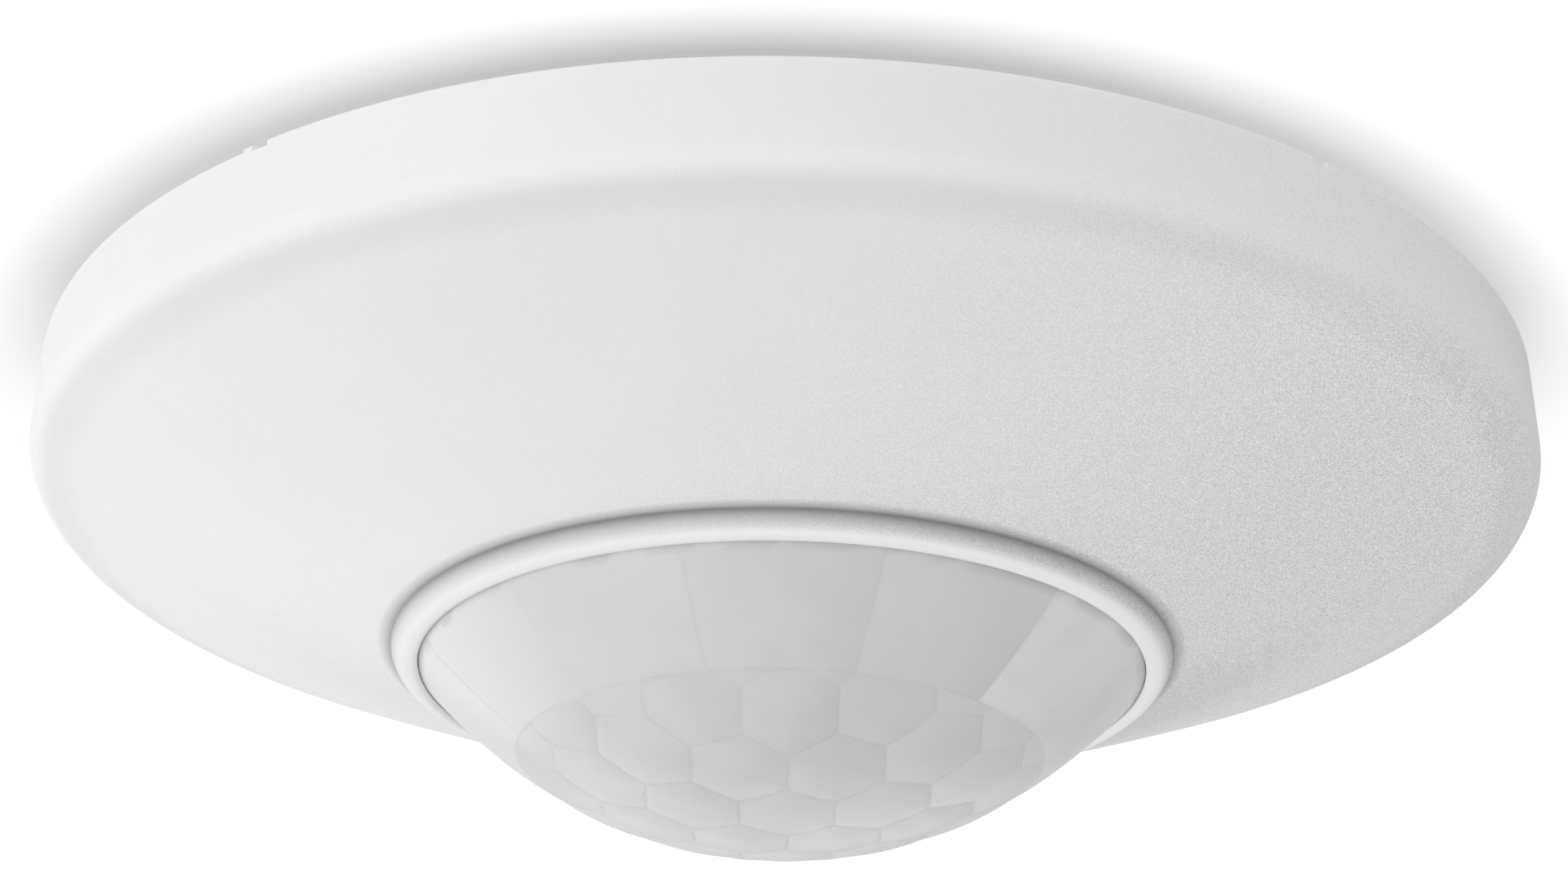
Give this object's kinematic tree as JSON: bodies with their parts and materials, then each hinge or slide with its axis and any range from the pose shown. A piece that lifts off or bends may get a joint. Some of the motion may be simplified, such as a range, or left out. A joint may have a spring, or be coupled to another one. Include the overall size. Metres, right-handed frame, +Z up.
{
  "type": "ceiling motion sensor",
  "caption": "Round ceiling motion sensor: clip-on white cover with a faceted dome lens, over a base plate with circuit board, terminals, adjusters and tamper switch.",
  "frame": {"origin": "centre of the mounting face, on the ceiling", "axes": "+Z up into the ceiling, so the body hangs towards -Z; +Y towards the cable entry; +X and -X through the two screw slots"},
  "size_m": [0.1158, 0.1158, 0.0331],
  "materials": {
    "cover_plastic": "white moulded shell with a fine spark-eroded grain",
    "base_plastic": "satin white moulding",
    "lens_plastic": "translucent milky film lens, semi-gloss",
    "retainer_plastic": "satin grey moulding",
    "spring_steel": "bare spring steel",
    "screw_steel": "zinc plated",
    "gasket_foam": "closed-cell foam",
    "grommet_rubber": "moulded rubber",
    "board_laminate": "green solder resist on glass laminate",
    "black_plastic": "moulding compound",
    "nickel_can": "nickel plated can",
    "filter_window": "coated silicon, opaque to the eye",
    "terminal_plastic": "green polyamide",
    "relay_plastic": "off-white relay case",
    "capacitor_can": "bare aluminium end with a sleeve",
    "led_red": "tinted clear epoxy",
    "trimmer_plastic": "blue housing",
    "control_plastic": "cream moving part"
  },
  "bodies": {
    "base": {"base_plate": "base_plastic", "cover_clip_1": "spring_steel", "cover_clip_2": "spring_steel", "cover_clip_3": "spring_steel", "cover_clip_4": "spring_steel", "ceiling_gasket": "gasket_foam", "cable_grommet": "grommet_rubber", "circuit_board": "board_laminate", "board_screw_1": "screw_steel", "board_screw_2": "screw_steel", "board_screw_3": "screw_steel", "board_screw_4": "screw_steel", "pyro_spacer": "black_plastic", "pyro_sensor": "nickel_can", "pyro_window": "filter_window", "terminal_block": "terminal_plastic", "terminal_screw_1": "screw_steel", "terminal_screw_2": "screw_steel", "terminal_screw_3": "screw_steel", "terminal_screw_4": "screw_steel", "terminal_screw_5": "screw_steel", "terminal_screw_6": "screw_steel", "alarm_relay": "relay_plastic", "reservoir_capacitor": "capacitor_can", "filter_capacitor": "capacitor_can", "microcontroller": "black_plastic", "amplifier_chip": "black_plastic", "voltage_regulator": "black_plastic", "walk_test_led": "led_red", "sensitivity_trimmer": "trimmer_plastic", "hold_time_trimmer": "trimmer_plastic", "dip_switch": "trimmer_plastic", "tamper_switch": "black_plastic", "tamper_spring": "spring_steel"},
    "cover": {"front_cover": "cover_plastic", "fresnel_lens": "lens_plastic", "lens_retainer": "retainer_plastic", "retainer_screw_1": "screw_steel", "retainer_screw_2": "screw_steel", "retainer_screw_3": "screw_steel"},
    "tamper_plunger": {"tamper_plunger": "control_plastic"},
    "sensitivity_dial": {"sensitivity_dial": "control_plastic"},
    "hold_time_dial": {"hold_time_dial": "control_plastic"},
    "dip_slider_1": {"dip_slider_1": "control_plastic"},
    "dip_slider_2": {"dip_slider_2": "control_plastic"},
    "dip_slider_3": {"dip_slider_3": "control_plastic"},
    "dip_slider_4": {"dip_slider_4": "control_plastic"}
  },
  "joints": [
    {"name": "cover_lift", "type": "slide", "parent": "base", "child": "cover", "axis": [0, 0, -1], "range_m": [0, 0.045], "deforming": ["cover_clip_1", "cover_clip_2", "cover_clip_3", "cover_clip_4"]},
    {"name": "tamper_press", "type": "slide", "parent": "base", "child": "tamper_plunger", "axis": [0, 0, -1], "range_m": [0, 0.0015], "deforming": ["tamper_spring"]},
    {"name": "sensitivity_turn", "type": "hinge", "parent": "base", "child": "sensitivity_dial", "pos_m": [-0.0126, -0.034, -0.0109], "axis": [0, 0, 1], "range_deg": [-135, 135]},
    {"name": "hold_time_turn", "type": "hinge", "parent": "base", "child": "hold_time_dial", "pos_m": [0.0126, -0.034, -0.0109], "axis": [0, 0, 1], "range_deg": [-135, 135]},
    {"name": "dip_slide_1", "type": "slide", "parent": "base", "child": "dip_slider_1", "axis": [0, 1, 0], "range_m": [0, 0.0015]},
    {"name": "dip_slide_2", "type": "slide", "parent": "base", "child": "dip_slider_2", "axis": [0, 1, 0], "range_m": [0, 0.0015]},
    {"name": "dip_slide_3", "type": "slide", "parent": "base", "child": "dip_slider_3", "axis": [0, 1, 0], "range_m": [0, 0.0015]},
    {"name": "dip_slide_4", "type": "slide", "parent": "base", "child": "dip_slider_4", "axis": [0, 1, 0], "range_m": [0, 0.0015]}
  ],
  "couplings": [
    {"joint": "tamper_press", "follows": "cover_lift", "ratio": 0.0333}
  ]
}
